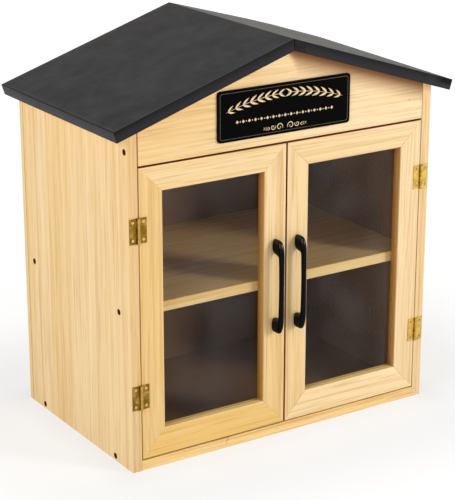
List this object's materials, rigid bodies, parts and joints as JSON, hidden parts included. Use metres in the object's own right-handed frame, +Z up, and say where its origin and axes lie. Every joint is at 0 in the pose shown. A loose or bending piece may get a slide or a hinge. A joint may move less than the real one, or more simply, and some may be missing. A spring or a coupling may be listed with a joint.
{
  "type": "street book exchange box",
  "caption": "Gabled pine cabinet with a shelf behind paired glazed doors, for books that passers-by swap.",
  "frame": {"origin": "centre of the underside", "axes": "+Z up, the doors face -Y, +X to the right seen from the front"},
  "size_m": [0.664, 0.394, 0.6899],
  "materials": {
    "pine": "clear satin varnish",
    "roof_wood": "plain board",
    "roofing": "satin",
    "sign": "gloss",
    "brass": "satin",
    "hinge_screw": "bright",
    "black_metal": "gloss",
    "black_screw": "satin",
    "steel_screw": "zinc",
    "bare_steel": "plain",
    "catch_plastic": "moulded",
    "clear_glass": "clear"
  },
  "bodies": {
    "cabinet": {"left_side_board": "pine", "right_side_board": "pine", "base_board": "pine", "back_board": "pine", "gable_board": "pine", "shelf": "pine", "left_roof_board": "roof_wood", "right_roof_board": "roof_wood", "roof_covering": "roofing", "sign_plate": "sign", "left_side_screws": "black_screw", "right_side_screws": "black_screw", "back_screws": "steel_screw", "roof_screws": "steel_screw", "catch_body": "catch_plastic", "catch_magnets": "bare_steel", "catch_screws": "steel_screw", "left_upper_hinge_frame_leaf": "brass", "left_upper_hinge_pin": "brass", "left_lower_hinge_frame_leaf": "brass", "left_lower_hinge_pin": "brass", "left_frame_hinge_screws": "hinge_screw", "right_upper_hinge_frame_leaf": "brass", "right_upper_hinge_pin": "brass", "right_lower_hinge_frame_leaf": "brass", "right_lower_hinge_pin": "brass", "right_frame_hinge_screws": "hinge_screw"},
    "left_door": {"left_upper_hinge_door_leaf": "brass", "left_lower_hinge_door_leaf": "brass", "left_door_top_rail": "pine", "left_door_bottom_rail": "pine", "left_door_hinge_stile": "pine", "left_door_meeting_stile": "pine", "left_door_pane": "clear_glass", "left_door_glazing_beads": "pine", "left_door_handle": "black_metal", "left_door_handle_screws": "steel_screw", "left_door_strike_plate": "bare_steel", "left_door_strike_screw": "steel_screw", "left_door_hinge_screws": "hinge_screw"},
    "right_door": {"right_upper_hinge_door_leaf": "brass", "right_lower_hinge_door_leaf": "brass", "right_door_top_rail": "pine", "right_door_bottom_rail": "pine", "right_door_hinge_stile": "pine", "right_door_meeting_stile": "pine", "right_door_pane": "clear_glass", "right_door_glazing_beads": "pine", "right_door_handle": "black_metal", "right_door_handle_screws": "steel_screw", "right_door_strike_plate": "bare_steel", "right_door_strike_screw": "steel_screw", "right_door_hinge_screws": "hinge_screw"}
  },
  "joints": [
    {"name": "left_door_swing", "type": "hinge", "parent": "cabinet", "child": "left_door", "pos_m": [-0.28275, -0.1879, 0.2725], "axis": [0, 0, -1], "range_deg": [0, 180]},
    {"name": "right_door_swing", "type": "hinge", "parent": "cabinet", "child": "right_door", "pos_m": [0.28275, -0.1879, 0.2725], "axis": [0, 0, 1], "range_deg": [0, 180]}
  ]
}
